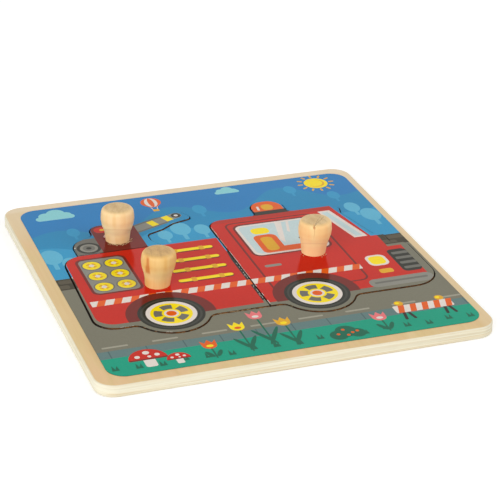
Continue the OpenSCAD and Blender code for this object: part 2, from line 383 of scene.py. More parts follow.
def seat_of(peg):
    """Height of the print that a peg stands on."""
    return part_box(peg.replace("peg", "print"))[1].z


def fillet(before, at, after, r):
    """Points that round the corner of a line."""
    into, out = (before - at).normalized(), (after - at).normalized()
    half = into.angle(out) / 2
    middle = at + (into + out).normalized() * r / math.sin(half)
    first, last = (at + way * r / math.tan(half) - middle for way in (into, out))
    sweep = first.angle_signed(last)
    turns = [Matrix.Rotation(-sweep * k / FILLET_STEPS, 2) for k in range(FILLET_STEPS + 1)]
    return [middle + turn @ first for turn in turns]


def peg_line(corners, spigot_end):
    """Radius and height of points up a peg's side. Corners are radius, height and rounding."""
    spots = [Vector(corner[:2]) for corner in corners]
    line = [Vector((SPIGOT_RADIUS, spigot_end)), Vector((SPIGOT_RADIUS, 0)), spots[0]]
    nexts = spots[2:] + [Vector((0, spots[-1].y))]
    for before, at, after, corner in zip(spots, spots[1:], nexts, corners[1:]):
        line += fillet(before, at, after, corner[2])
    return line


def turned(name, corners, lean, seed):
    """A turned peg with its spigot, a little out of round, that leans to the right in the main view."""
    low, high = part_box(name)
    seat = seat_of(name)
    middle = (low + high) / 2
    dice = random.Random(seed)
    wobble = [(waves, dice.uniform(0, 2 * math.pi), size) for waves, size in WOBBLE]
    bm = bmesh.new()
    rings = []
    for radius, height in peg_line(corners, (low.z - seat) / MM):
        tilt = max(height, 0) * lean
        ring = []
        for k in range(PEG_SIDES):
            turn = 2 * math.pi * k / PEG_SIDES
            swell = 1
            if height > 0:
                swell += sum(size * math.cos(waves * turn + at) for waves, at, size in wobble)
            x = radius * swell * math.cos(turn) + tilt * VIEW_RIGHT.x
            y = radius * swell * math.sin(turn) + tilt * VIEW_RIGHT.y
            ring.append(bm.verts.new((middle.x + x * MM, middle.y + y * MM, seat + height * MM)))
        rings.append(ring)
    for lower, upper in zip(rings, rings[1:]):
        for k in range(PEG_SIDES):
            after = (k + 1) % PEG_SIDES
            bm.faces.new((lower[k], lower[after], upper[after], upper[k]))
    bm.faces.new(rings[0][::-1])
    bm.faces.new(rings[-1])
    mesh = bpy.data.meshes.new(name)
    bm.to_mesh(mesh)
    bm.free()
    mesh.shade_smooth()
    mesh.set_sharp_from_angle(angle=SHARP_EDGE)
    return mesh


def growth_rings(f, seed):
    """Growth rings about a heart outside the peg, from 0 to 1 and back."""
    heart_x, heart_y = 31 * MM, 12 * MM * (seed % 3 - 1)
    wander = f.noise((55, 55, 12), (seed, 2, 5), detail=3)
    heart = f.distance(f.math("ADD", f.x, heart_x), f.math("ADD", f.y, heart_y))
    return f.math("PINGPONG", f.total((heart, 420.0), (wander, 3.2)), 1.0)


def peg_side(f, seed, ring, fibres, pale, deep, seat, tool_mark):
    """Long grain, with painted light that makes the waist paler, and the turning tool's slanting mark at its
    height above the foot, painted darker as the shade of its small step.
    """
    broad = f.noise((190, 190, 22), (seed, 4, 9), detail=3)
    tone = f.total((ring, 0.12), (fibres, 0.22), (broad, 0.9))
    wood = f.ramp(tone, (0.44, deep), (0.80, pale))
    flecks = f.step(f.noise((2400, 2400, 160), (seed, 3, 3), detail=2), 0.68, 0.78)
    wood = f.tint(wood, PEG_FLECK, flecks, share=0.15)
    # Painted light: the waist is made paler and less pink, against its shade and the red bounce light it
    # gets
    waist = f.times(f.step_mm(f.z, seat + 3, seat + 8), f.step_mm(f.z, seat + 14, seat + 9))
    waist_painted_light = tuple(min(c + more, 255) for c, more in zip(pale, WAIST_PALER))
    wood = f.tint(wood, waist_painted_light, waist, share=0.5)
    if tool_mark is None:
        return wood
    # Painted shade: a darker slanting line at the profile's kink, standing for the shade of the tool's small
    # step
    slant = f.math("ADD", f.z, f.times(f.away, 0.5))
    line = f.step_mm(f.off(slant, (seat + tool_mark) * MM), 0.7, 0)
    return f.tint(wood, TOOL_MARK_SHADE, line, share=0.22)


def peg_top(f, seed, ring, spread, end_grain):
    """End grain: pores, clouds, a darker middle and the dark lines of the rings."""
    pores = f.noise((2300, 2300, 2300), (seed, 1, 4), detail=4)
    clouds = f.noise((260, 90, 200), (seed, 7, 2), detail=3)
    middle = f.step_mm(spread, 7, 0)
    top = f.ramp(f.total((pores, 0.55), (clouds, 0.45), (middle, -0.07)), *end_grain)
    darkest = end_grain[0][1]
    return f.tint(top, darkest, f.step(ring, 0.6, 1.0), share=0.28)


def peg_finish(name, seed, pale, deep, end_grain, tool_mark):
    """Turned wood with an end-grain top that fades into the paler side wood towards its rim, partly from
    wear and partly as a painted highlight on the rounded edge. Heights start at the spigot's end.
    """
    low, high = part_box(name)
    middle = (low + high) / 2
    seat = (seat_of(name) - low.z) / MM
    f = Finish(name + "_wood", roughness=0.45, ior=1.33)
    f.measure_from(f.moved((1, 1, 1), (-middle.x, -middle.y, -low.z)))
    f.right = f.total((f.x, VIEW_RIGHT.x), (f.y, VIEW_RIGHT.y))
    f.away = f.total((f.x, VIEW_AWAY.x), (f.y, VIEW_AWAY.y))
    ring = growth_rings(f, seed)
    fibres = f.noise((1100, 1100, 40), (seed, 8, 1), detail=4)
    spread = f.distance(f.x, f.y)
    side = peg_side(f, seed, ring, fibres, pale, deep, seat, tool_mark)
    # Partly wear and partly a painted highlight: the top fades to the paler side wood near its rounded rim
    rim_wear_and_highlight = f.times(f.step_mm(spread, 6.2, 8.8), 0.55)
    cut = f.times(f.step(f.up, 0.55, 1.0), f.math("SUBTRACT", 1.0, rim_wear_and_highlight))
    f.wood = f.blend(cut, side, peg_top(f, seed, ring, spread, end_grain))
    turning = f.noise((30, 30, 1100), (seed, 6, 6), detail=2)
    f.roughness(fibres, low=0.40, high=0.60)
    f.bump(f.total((turning, 0.6), (fibres, 0.5)), depth=0.07, strength=0.35)
    return f


def resin_streak(f):
    """A streak of resin, left of the middle, that runs down from the top edge and widens a little."""
    sway = f.sway((160, 160, 160), (2, 2, 2), detail=2, size=1.0)
    across = f.off(f.math("ADD", f.right, sway), -4.9 * MM)
    across = f.math("SUBTRACT", across, f.times(f.step_mm(f.z, 22, 16), 0.5 * MM))
    front = f.step_mm(f.away, 0, -3)
    lower_end, upper_end = f.step_mm(f.z, 12.8, 15.5), f.step_mm(f.z, 24.6, 22.6)
    streak = f.times(f.step_mm(across, 1.2, 0.5), front, lower_end, upper_end)
    resin = f.ramp(f.step_mm(across, 0, 1), *RESIN)
    return f.blend(f.times(streak, 0.85), f.wood, resin)


def drying_crack(f):
    """A crack that crosses the top in two branches, chips the rim and runs down the front as a darker line,
    painted as the shade of its furrow. The peg is also painted paler towards its foot, as painted light.
    """
    crack_at = -0.4 * MM
    # Painted light: paler towards the foot
    wood = f.tint(f.wood, PAINTED_FOOT_LIGHT, f.step_mm(f.z, 15, 6), share=0.4)
    swayed = f.math("ADD", f.right, f.sway((420, 420, 90), (1, 4, 2), detail=3, size=2.4))
    on_top = f.times(f.step_mm(f.away, 4.5, 3), f.step_mm(f.z, 22.6, 23.6))
    from_front = f.math("ADD", f.away, 9 * MM)
    for slope, share in ((0.46, 0.75), (0.28, 0.45)):
        branch = f.off(swayed, f.math("ADD", f.times(from_front, slope), crack_at))
        wood = f.tint(wood, CRACK, f.times(f.step_mm(branch, 0.24, 0.06), on_top), share=share)
    front = f.step_mm(f.away, -4, -6)
    off = f.off(swayed, crack_at)
    # Painted shade: the crack's furrow down the front is a darker line
    groove_shade = f.times(f.step_mm(off, 0.4, 0.1), f.step_mm(f.z, 15, 21), front)
    wood = f.tint(wood, CRACK_GROOVE_SHADE, groove_shade, share=0.5)
    rim = f.step_mm(f.off(f.z, 23.2 * MM), 0.8, 0.3)
    chip = f.times(f.step_mm(off, 0.8, 0.4), rim, front)
    return f.tint(wood, CRACK_CHIP, chip, share=0.6)


def set_peg(name, seed, corners, lean, finish):
    mesh = turned(name, corners, lean, seed)
    made = piece(name + "_turned", mesh, finish, name.replace("peg", "piece"))
    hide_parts(name)


def boom_peg():
    seed = 3
    corners = [(6.9, 0, 0), (7.5, 5.6, 3), (9.0, 9.8, 8), (9.65, 13.8, 8), (9.05, 20.3, 3)]
    f = peg_finish("boom_peg", seed, (249, 217, 165), (242, 201, 139), PALE_END, tool_mark=5.8)
    f.colour(f.wood)
    set_peg("boom_peg", seed, corners, lean=0.01, finish=f)


def rear_peg():
    seed = 7
    corners = [(6.95, 0, 0), (7.3, 4, 8), (7.8, 7.0, 8), (9.0, 10.6, 6), (9.75, 14.4, 8), (9.2, 20.3, 3)]
    f = peg_finish("rear_peg", seed, (242, 205, 139), (233, 184, 108), DARK_END, tool_mark=None)
    f.colour(resin_streak(f))
    set_peg("rear_peg", seed, corners, lean=0.042, finish=f)


def cab_peg():
    seed = 5
    corners = [(6.9, 0, 0), (7.45, 4.5, 8), (8.4, 8.5, 8), (9.3, 11.4, 4), (9.6, 14.6, 8), (9.05, 20.3, 2.8)]
    f = peg_finish("cab_peg", seed, (251, 218, 156), (248, 200, 136), PALE_END, tool_mark=4.8)
    f.colour(drying_crack(f))
    set_peg("cab_peg", seed, corners, lean=0.033, finish=f)


boom_peg()
rear_peg()
cab_peg()


# The printed picture: coloured areas on the board, each painted over those before it

INKS = {
    "deep_sky": (30, 124, 186),
    "far_hill": (30, 136, 183),
    "near_hill": (46, 151, 196),
    "pale_blue": (92, 178, 208),
    "cloud": (138, 206, 210),
    "wall": (64, 57, 39),
    "stone": (88, 80, 62),
    "road": (123, 120, 102),
    "road_line": (160, 156, 138),
    "kerb": (98, 125, 122),
    "kerb_joint": (80, 104, 102),
    "grass": (8, 157, 125),
    "leaf": (22, 104, 78),
    "red": (202, 36, 17),
    "roof_red": (184, 42, 26),
    "dark_red": (118, 39, 30),
    "tyre": (48, 48, 39),
    "tread": (66, 66, 58),
    "grey": (140, 138, 127),
    "slat": (112, 110, 101),
    "cream": (230, 219, 209),
    "glass": (196, 214, 214),
    "yellow": (252, 224, 18),
    "gold": (228, 170, 34),
    "orange": (230, 95, 24),
    "pink": (234, 120, 122),
    "seam": (46, 42, 36),
    "singed": (42, 28, 18),
    # Painted shadow of the gap along the rear tile's left
    "painted_gap_shadow": (12, 9, 8),
    "paper": (226, 214, 190),
    # Bare paper where ink has chipped, also used for painted highlights along tile edges
    "chip": (206, 202, 192),
}
# The scenery reaches this far from the middle to all sides, past the board's edges
SPREAD = 130
# Levels of the scenery, from the far side to the near
WALL_TOP = 10
WALL_FOOT = -3
HILL_FOOT = -4
KERB_TOP = -75.5
ROAD_FOOT = -76
GRASS_TOP = -83.2
KERB_FOOT = -84
# The vehicle's striped band
BAND_LOW, BAND_HIGH = -27.5, -21.5
picture = []


def counterclockwise(points):
    pairs = zip(points, points[1:] + points[:1])
    area = sum(a[0] * b[1] - b[0] * a[1] for a, b in pairs)
    return points if area > 0 else points[::-1]


def paint(ink, points):
    picture.append((ink, counterclockwise([tuple(p) for p in points])))


def arc(x, y, r, start, end, steps):
    """Points of an arc, with its angles in degrees."""
    turns = [math.radians(start + (end - start) * k / steps) for k in range(steps + 1)]
    return [(x + r * math.cos(t), y + r * math.sin(t)) for t in turns]


def disc(x, y, rx, ry=None, tilt=0, steps=36):
    ry = ry or rx
    c, s = math.cos(math.radians(tilt)), math.sin(math.radians(tilt))
    turns = [2 * math.pi * k / steps for k in range(steps)]
    flat = [(rx * math.cos(t), ry * math.sin(t)) for t in turns]
    return [(x + a * c - b * s, y + a * s + b * c) for a, b in flat]


def panel(x0, y0, x1, y1, r=0.0):
    """Rectangle with round corners."""
    if not r:
        return [(x0, y0), (x1, y0), (x1, y1), (x0, y1)]
    corners = [(x1 - r, y1 - r, 0), (x0 + r, y1 - r, 90), (x0 + r, y0 + r, 180), (x1 - r, y0 + r, 270)]
    return [p for x, y, turn in corners for p in arc(x, y, r, turn, turn + 90, 6)]


def bar(start, end, width):
    """Straight stroke with round ends."""
    (x0, y0), (x1, y1) = start, end
    turn = math.degrees(math.atan2(y1 - y0, x1 - x0))
    r = width / 2
    return arc(x1, y1, r, turn - 90, turn + 90, 8) + arc(x0, y0, r, turn + 90, turn + 270, 8)


def slanted_bars(left, low, high, width, slant, pitch, count):
    """A row of orange bars that lean to the right."""
    for k in range(count):
        x = left + pitch * k
        paint("orange", [(x, low), (x + width, low), (x + width + slant, high), (x + slant, high)])


def skyline(knots, floor):
    """Area under a smooth line through the knots."""
    steps = 10
    line = []
    for (x0, y0), (x1, y1) in zip(knots, knots[1:]):
        for k in range(steps):
            s = k / steps
            line.append((x0 + (x1 - x0) * s, y0 + (y1 - y0) * (1 - math.cos(math.pi * s)) / 2))
    return line + [knots[-1], (knots[-1][0], floor), (knots[0][0], floor)]


def tree(x, y, size, ink):
    paint(ink, panel(x - 0.09 * size, y - 0.9 * size, x + 0.09 * size, y))
    paint(ink, disc(x, y + 0.15 * size, 0.42 * size, 0.62 * size))


def cloud(x, y, size):
    paint("cloud", panel(x - 1.3 * size, y - 0.4 * size, x + 1.3 * size, y + 0.2 * size, 0.28 * size))
    for dx, dy, r in ((-0.55, 0.25, 0.5), (0.15, 0.5, 0.62), (0.75, 0.15, 0.42)):
        paint("cloud", disc(x + dx * size, y + dy * size, r * size))


def sun(x, y):
    rays = 12
    for k in range(rays):
        turn = 360 / rays * k
        near, far = (arc(x, y, r, turn, turn, 1)[0] for r in (9.0, 11.2))
        paint("gold", bar(near, far, 1.3))
    paint("yellow", disc(x, y, 7.4))
    paint("gold", disc(x, y, 5.4))
    paint("yellow", disc(x - 0.6, y + 0.6, 5.0))


def balloon(x, y, r):
    for side in (-1, 1):
        paint("cream", bar((x + side * 0.35 * r, y - r), (x + side * 0.2 * r, y - 1.75 * r), 0.08 * r))
    paint("gold", panel(x - 0.3 * r, y - 2.1 * r, x + 0.3 * r, y - 1.65 * r, 0.08 * r))
    mouth = [(x - 0.34 * r, y - 1.12 * r), (x + 0.34 * r, y - 1.12 * r)]
    paint("orange", arc(x, y, r, -35, 215, 28) + mouth)
    paint("cream", disc(x, y - 0.05 * r, 0.62 * r, 1.02 * r))
    paint("orange", disc(x, y - 0.05 * r, 0.26 * r, 1.02 * r))


def tulip(x, foot, height, ink, heart):
    top = foot + height
    paint("leaf", bar((x, foot), (x, top), 1.0))
    for side in (-1, 1):
        paint("leaf", disc(x + side * 2.6, foot + 0.34 * height, 1.3, 0.3 * height, -side * 28))
    tips = [(4.2, 6.4), (2.0, 3.6), (0, 7.0), (-2.0, 3.6), (-4.2, 6.4)]
    paint(ink, arc(x, top + 1.6, 4.0, 180, 360, 12) + [(x + dx, top + dy) for dx, dy in tips])
    paint(heart, disc(x, top + 0.6, 1.9, 1.3))


def toadstool(x, foot, size):
    paint("cream", panel(x - 0.24 * size, foot, x + 0.24 * size, foot + 0.75 * size, 0.12 * size))
    paint("red", arc(x, foot + 0.6 * size, 0.8 * size, 0, 180, 20))
    brim_low, brim_high = foot + 0.56 * size, foot + 0.66 * size
    paint("dark_red", panel(x - 0.8 * size, brim_low, x + 0.8 * size, brim_high, 0.04 * size))
    for dx, dy, r in ((-0.4, 0.86, 0.11), (0.02, 1.12, 0.14), (0.42, 0.88, 0.11), (0.08, 0.8, 0.08)):
        paint("cream", disc(x + dx * size, foot + dy * size, r * size, steps=18))


def grass_tuft(x, foot):
    blades = [(-2, 0), (2, 0), (1.4, 5), (0, 1.5), (-1.2, 5.6)]
    paint("leaf", [(x + dx, foot + dy) for dx, dy in blades])


def berry_bush(x, y):
    for dx, dy, r in ((-5, 0, 5), (0, 3, 6), (5.5, 0, 4.6)):
        paint("leaf", disc(x + dx, y + dy, r))
    for dx, dy in ((-5, 1), (-1, 5), (3, 1), (6, 2), (0, -1)):
        paint("orange", disc(x + dx, y + dy, 1.0, steps=16))


def barrier(x, y):
    posts = (-12, 12)
    for dx in posts:
        for splay in (-2.5, 2.5):
            paint("tyre", bar((x + dx + splay, y - 9), (x + dx, y + 5), 1.8))
    paint("cream", panel(x - 17, y - 2, x + 17, y + 6, 1.2))
    slanted_bars(x - 16, y - 2, y + 6, width=3.5, slant=2.5, pitch=7, count=5)
    for dx in posts:
        paint("gold", disc(x + dx, y + 8.4, 2.6))
        paint("yellow", disc(x + dx - 0.6, y + 9.0, 1.2))


def wheel(x, y):
    paint("dark_red", arc(x, y, 24.5, -8, 188, 40))
    for ink, r in (("tyre", 18.2), ("tread", 16.6), ("tyre", 15.4), ("cream", 13.8)):
        paint(ink, disc(x, y, r, steps=60))
    paint("yellow", disc(x, y, 11.4, steps=48))
    windows = 5
    for k in range(windows):
        turn = 360 / windows * k
        near = arc(x, y, 5.2, turn - 6, turn + 54, 4)
        far = arc(x, y, 9.6, turn + 2, turn + 46, 6)
        paint("slat", near + far[::-1])
    paint("cream", disc(x, y, 4.0))
    paint("orange", disc(x, y, 2.8))


def band(left, right, first_bar, bars):
    paint("cream", panel(left, BAND_LOW, right, BAND_HIGH))
    slanted_bars(first_bar, BAND_LOW, BAND_HIGH, width=4.4, slant=2.6, pitch=9.4, count=bars)


def draw_sky():
    paint("deep_sky", panel(-SPREAD, -SPREAD, SPREAD, SPREAD))
    far = [(-86, 71), (-52, 58), (-14, 84), (22, 66), (58, 91), (92, 70)]
    near = [(-98, 50), (-64, 36), (-22, 57), (8, 44), (96, 46)]
    paint("far_hill", skyline([(-SPREAD, 52), *far, (SPREAD, 82)], HILL_FOOT))
    paint("near_hill", skyline([(-SPREAD, 44), *near, (SPREAD, 58)], HILL_FOOT))
    left_trees = ((-97, 36, 15), (-88, 26, 12))
    middle_trees = ((-16, 51, 14), (-4, 47, 11), (-27, 46, 10))
    right_trees = ((99, 37, 14), (92, 50, 11))
    for x, y, size in left_trees + middle_trees + right_trees:
        tree(x, y, size, "pale_blue")
    for x, y, size in ((-77, 65, 9), (3, 74, 10), (65, 85, 9), (88, 70, 9)):
        tree(x, y, size, "near_hill")
    cloud(-82, 90, 9)
    cloud(27, 95, 6)
    sun(84, 91)
    balloon(-22, 93.5, 6.2)


def draw_street():
    paint("wall", panel(-SPREAD, WALL_FOOT, SPREAD, WALL_TOP))
    for k in range(14):
        left = -101 + 15 * k
        paint("stone", panel(left, 4.2, left + 12, 8.6, 1.5))
        paint("stone", panel(left - 7, -1.8, left + 5, 2.6, 1.5))
    paint("road", panel(-SPREAD, ROAD_FOOT, SPREAD, WALL_FOOT))
    for k in range(8):
        left = -98 + 27 * k
        paint("road_line", panel(left, -72.6, left + 14, -71.0, 0.6))
    paint("kerb", panel(-SPREAD, KERB_FOOT, SPREAD, KERB_TOP))
    for k in range(11):
        left = -96 + 20 * k
        paint("kerb_joint", panel(left, KERB_FOOT, left + 0.7, KERB_TOP))


def draw_verge():
    paint("grass", panel(-SPREAD, -SPREAD, SPREAD, GRASS_TOP))
    for k in range(17):
        grass_tuft(-97 + 12.3 * k, -96 - k % 3)
    toadstool(-78, -97, 13)
    toadstool(-63, -98, 8)
    tulip(-24, -97, 25, "yellow", "orange")
    tulip(-11, -96, 33, "pink", "cream")
    tulip(1, -98, 24, "gold", "yellow")
    tulip(52, -98, 14, "pink", "cream")
    tulip(-44, -98, 12, "orange", "yellow")
    berry_bush(29, -95)
    barrier(80, -80)


def draw_scenery():
    draw_sky()
    draw_street()
    draw_verge()


def pale_chips_and_highlights(start, end, seed, share, size=1):
    """Pale slivers along a tile's edge, from start to end: chipped ink, and on the tiles' left edges also a
    painted highlight of the edge.
    They lie on the right of that way, over about this share of it."""
    dice = random.Random(seed)
    start, way = Vector(start), Vector(end) - Vector(start)
    length = way.length
    way.normalize()
    inward = Vector((way.y, -way.x))
    taper = way * 0.2 * size
    at = 0
    while at < length:
        after = min(at + dice.uniform(1, 5) * size, length)
        deep = dice.uniform(0.5, 0.75) * size
        if dice.random() < share:
            near, far = start + way * at, start + way * after
            paint("chip", [near, near + taper + inward * deep, far - taper + inward * deep, far])
        at = after


def draw_painted_gap_shadow():
    """Rim of the pocket, painted black along the rear tile's left as the shadow in the gap."""
    x, y, r, width = -82.65, -42.1, 12.6, 1
    paint("painted_gap_shadow", arc(x, y, r, 180, 250, 14) + arc(x, y, r - width, 250, 180, 14))
    paint("painted_gap_shadow", [(x - r, y), (-94, y), (-92, 23), (-93.1, 23)])


def valve(x, y):
    paint("slat", disc(x, y, 5.8))
    paint("yellow", disc(x, y, 5.0))
    paint("gold", disc(x, y, 3.0))
    paint("yellow", bar((x - 4, y), (x + 4, y), 1.3))
    paint("yellow", bar((x, y - 4), (x, y + 4), 1.3))
    paint("cream", disc(x, y, 1.5, steps=20))


def strapped_tube(y):
    left, right = -36, -7.4
    paint("dark_red", bar((left, y - 1.1), (right, y - 1.1), 3.4))
    paint("yellow", bar((left, y), (right, y), 3.2))
    for x in (-30, -14):
        paint("gold", panel(x, y - 2.4, x + 3, y + 2.4, 0.8))


def draw_rear():
    end = -1.2
    lower_left = arc(-82.6, -39.4, 10.2, 180, 270, 10)
    upper_left = arc(-81.2, 24, 10.6, 90, 180, 10)
    paint("seam", [(end, -47), (2, -47), (2, 16), (-0.3, 16), (end, 4)])
    paint("red", lower_left + [(end, -49.6), (end, 4), (-0.3, 16), (-0.25, 34.6)] + upper_left)
    band(-90.8, end, first_bar=-88.6, bars=10)
    paint("dark_red", panel(-86.6, -15, -57.4, 29.6, 4.6))
    paint("grey", panel(-85, -13.4, -59, 28, 3.4))
    for row in range(3):
        for column in range(2):
            valve(-78.4 + 12.8 * column, -6.2 + 13.4 * row)
    for k in range(4):
        strapped_tube(-12 + 12.2 * k)
    wheel(-52.6, -46.5)
    # Chipped ink and a painted highlight along the rear tile's left edge
    pale_chips_and_highlights((-94.8, -44), (-92.3, 22), seed=4, share=0.12)
    pale_chips_and_highlights((-73, -54.1), (-86, -54.1), seed=7, share=0.4)
    pale_chips_and_highlights((-58.1, -66.9), (-61.6, -65.6), seed=3, share=1)
    pale_chips_and_highlights((0.2, 6), (0.2, -48), seed=11, share=0.3, size=0.4)
    pale_chips_and_highlights((-0.4, -8), (-0.4, -46), seed=12, share=0.12, size=0.4)


def draw_side_window():
    paint("dark_red", panel(12.6, 3.4, 61.4, 46.6, 5.5))
    paint("cream", panel(14, 4.8, 60, 45.2, 4.5))
    paint("glass", panel(15.8, 6.6, 58.2, 43.4, 3.5))
    paint("orange", panel(20, 6.6, 34, 30, 4))
    paint("orange", panel(20, 6.6, 46, 13, 3))
    paint("gold", panel(23.4, 9, 30.6, 27, 3))
    paint("yellow", panel(21.6, 31.4, 32.4, 39.4, 3.2))
    paint("tyre", bar((53.6, 6.8), (49.6, 24), 1.8))
    paint("tyre", bar((46.6, 20), (52.6, 28), 2.2))
    paint("cream", [(39, 43.4), (43, 43.4), (36.4, 17), (34.4, 21)])
    paint("cream", [(46, 43.4), (47.6, 43.4), (43.6, 29), (42.4, 31)])


def draw_grille_and_lamps():
    front = 98.6
    paint("grey", panel(62, -51.6, 100.4, -42, 4))
    paint("slat", panel(65, -47.6, 97, -45.6, 0.9))
    paint("tyre", panel(87, -38, front, -10, 3))
    for k in range(4):
        foot = -35 + 6.2 * k
        paint("slat", panel(88.8, foot, front, foot + 3, 1))
    paint("cream", panel(71.4, -27, 83.6, -13.8, 4))
    paint("yellow", panel(73, -25.4, 82, -15.4, 3))
    paint("gold", panel(73.4, -36.4, 81.6, -31.4, 1.6))


def draw_beacon(roof):
    paint("tyre", panel(30.6, roof - 0.6, 54.2, roof + 4.2, 1.8))
    paint("orange", arc(42.0, roof + 8.1, 9.5, 0, 180, 24) + [(32.5, roof + 4.2), (51.5, roof + 4.2)])
    paint("gold", panel(39, roof + 5.2, 46, roof + 13, 3))
    paint("cream", bar((36.4, roof + 6.6), (36.8, roof + 10.6), 1.5))


def draw_cab():
    roof, foot, front = 56.5, -50.4, 98.6
    top = roof + 2
    nose = [(front, foot), (front, -5.6), (90.4, -5.6), (90.4, 10.2), (86.6, 10.2)]
    paint("red", [(0, foot), *nose, (78.4, top), (0, top)])
    paint("roof_red", [(0, 51.4), (79.8, 51.4), (78.4, top), (0, top)])
    paint("cream", [(76.6, 50.4), (85, 11), (76.8, 11), (69, 50.4)])
    paint("glass", [(74.8, 48.4), (82.4, 12.8), (78.4, 12.8), (71, 48.4)])
    paint("dark_red", panel(9, -41, 65, 50, 5))
    paint("red", panel(10.2, -39.8, 63.8, 48.8, 4))
    draw_side_window()
    band(1, 66, first_bar=3, bars=7)
    paint("grey", panel(14, -10.4, 24, -7.6, 1.3))
    wheel(30.3, -47.8)
    draw_grille_and_lamps()
    draw_beacon(roof)
    # Painted highlight: a nearly unbroken pale line along the cab's left edge, with chipped ink lower down
    pale_chips_and_highlights((0.9, -20), (0.9, 49), seed=9, share=0.8)
    pale_chips_and_highlights((0.9, -52), (0.9, -20), seed=2, share=0.35)


def draw_boom():
    base = 34.6
    paint("slat", panel(-90, base - 4, -60, base + 20))
    for ink, r, steps in (("tyre", 7.0, 40), ("grey", 5.2, 32), ("slat", 3.6, 28), ("tyre", 1.5, 20)):
        paint(ink, disc(-74, base + 8, r, steps=steps))
    rise = math.radians(22)
    reach = Vector((math.cos(rise), math.sin(rise)))
    root = Vector((-44, 58))
    tip = root + reach * 33
    paint("slat", bar(root, root + reach * 22, 10))
    paint("grey", bar(root, tip, 6.8))
    side = Vector((-reach.y, reach.x)) * 3.4
    for out in (13, 24):
        near, far = root + reach * out, root + reach * (out + 4.6)
        paint("yellow", [near - side, far - side, far + side, near + side])
    paint("tyre", disc(*tip, 3.0))
    paint("cream", disc(*tip, 1.3, steps=20))
    paint("dark_red", panel(-67.4, base - 9, -41.2, base + 35.4, 7))
    paint("red", panel(-65.4, base + 25.6, -43.2, base + 33, 3.4))
    paint("gold", panel(-62, base + 28, -46.6, base + 30.6, 1.2))
    pale_chips_and_highlights((-82.6, base), (-82.0, base + 11), seed=5, share=0.5)


def drawn(*draws):
    """The areas that these functions paint, in their order."""
    picture.clear()
    for draw in draws:
        draw()
    return list(picture)


# Printed sheets: the picture cut to each sheet's own outline

# Points of the cut picture that are closer than this are one point
SAME_POINT = 1e-5
# Faces of a sheet within this many metres of its top are its top
SAME_LEVEL = 1e-6
# Shares of the unit square that a sheet is laid on
MARGIN, TOP_FILL = 0.01, 0.94
STRIP_AT, STRIP_WIDTH = 0.96, 0.03


def loops_of(node):
    """The outlines of a node's top face, largest first."""
    mesh = nodes[node].data
    top = max(v.co.z for v in mesh.vertices)
    edges = {}
    for face in mesh.polygons:
        if face.normal.z > 0.9 and abs(face.center.z - top) < SAME_LEVEL:
            spots = [tuple(round(c / MM, 4) for c in mesh.vertices[k].co.xy) for k in face.vertices]
            edges.update(dict.fromkeys(zip(spots, spots[1:] + spots[:1])))
    after = {a: b for a, b in edges if (b, a) not in edges}
    loops = []
    while after:
        start, spot = after.popitem()
        loop = [start]
        while spot != start:
            loop.append(spot)
            spot = after.pop(spot)
        loops.append(counterclockwise(loop))
    return sorted(loops, key=lambda loop: -max(p[0] for p in loop) + min(p[0] for p in loop))


def cut_out(art, loops, spans):
    """The art inside the outlines: its points, its cells and the ink of each cell."""

    def meets(points):
        boxes = zip(zip(*points), spans)
        return all(min(values) < high and max(values) > low for values, (low, high) in boxes)

    areas = [(ink, points) for ink, points in art if meets(points)]
    outline = len(areas)
    spots, rings = [], []
    for ring in [points for _, points in areas] + loops:
        rings.append(list(range(len(spots), len(spots) + len(ring))))
        spots += [Vector(p) for p in ring]
    spots, _, cells, _, _, owners = delaunay_2d_cdt(spots, [], rings, 1, SAME_POINT)
    shown, inks = [], []
    for cell, owner in zip(cells, owners):
        # A cell is shown if it lies in the first outline and in none of the holes after it
        if outline in owner and max(owner) == outline:
            shown.append(list(cell))
            inks.append(areas[max(k for k in owner if k < outline)][0])
    return spots, shown, inks


def lay_out(mesh, spans, cells):
    """Lays the sheet on a unit square: its top fills most of it, and its underside and rim lie in strips.
    The first cells of the mesh are its top, as many more its underside, and the rest its rim."""
    layer = mesh.uv_layers.new(name="OFBake")
    rims = len(mesh.polygons) - 2 * cells
    for face in mesh.polygons:
        for corner, k in enumerate(face.loop_indices):
            spot = mesh.vertices[mesh.loops[k].vertex_index].co / MM
            across, along = ((spot[axis] - a) / (b - a) for axis, (a, b) in enumerate(spans))
            if face.index < cells:
                place = (MARGIN + TOP_FILL * across, MARGIN + TOP_FILL * along)
            elif face.index < 2 * cells:
                place = (STRIP_AT + STRIP_WIDTH * across, MARGIN + TOP_FILL * along)
            else:
                round_rim = (face.index - 2 * cells + corner // 2) / rims
                place = (MARGIN + TOP_FILL * round_rim, STRIP_AT + STRIP_WIDTH * (corner in (0, 3)))
            layer.data[k].uv = place


def sheet_mesh(node, art):
    """A closed sheet with the art on its top."""
    low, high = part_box(node)
    loops = loops_of(node)
    spans = [(min(p[k] for p in loops[0]), max(p[k] for p in loops[0])) for k in (0, 1)]
    spots, shown, inks = cut_out(art, loops, spans)
    edges = {(a, b) for cell in shown for a, b in zip(cell, cell[1:] + cell[:1])}
    rim = [(a, b) for a, b in edges if (b, a) not in edges]
    used = sorted({k for cell in shown for k in cell})
    new = {k: i for i, k in enumerate(used)}
    n = len(used)
    points = [(spots[k].x * MM, spots[k].y * MM, z) for z in (high.z, low.z) for k in used]
    polygons = [[new[k] for k in cell] for cell in shown]
    polygons += [[new[k] + n for k in reversed(cell)] for cell in shown]
    polygons += [[new[a], new[a] + n, new[b] + n, new[b]] for a, b in sorted(rim)]
    inks += ["paper"] * len(shown) + ["singed"] * len(rim)
    mesh = bpy.data.meshes.new(node + "_art")
    mesh.from_pydata(points, [], polygons)
    lay_out(mesh, spans, len(shown))
    layer = mesh.color_attributes.new("ink", "FLOAT_COLOR", "CORNER")
    for face, ink in zip(mesh.polygons, inks):
        for k in face.loop_indices:
            layer.data[k].color = (*linear(INKS[ink]), 1)
    return mesh


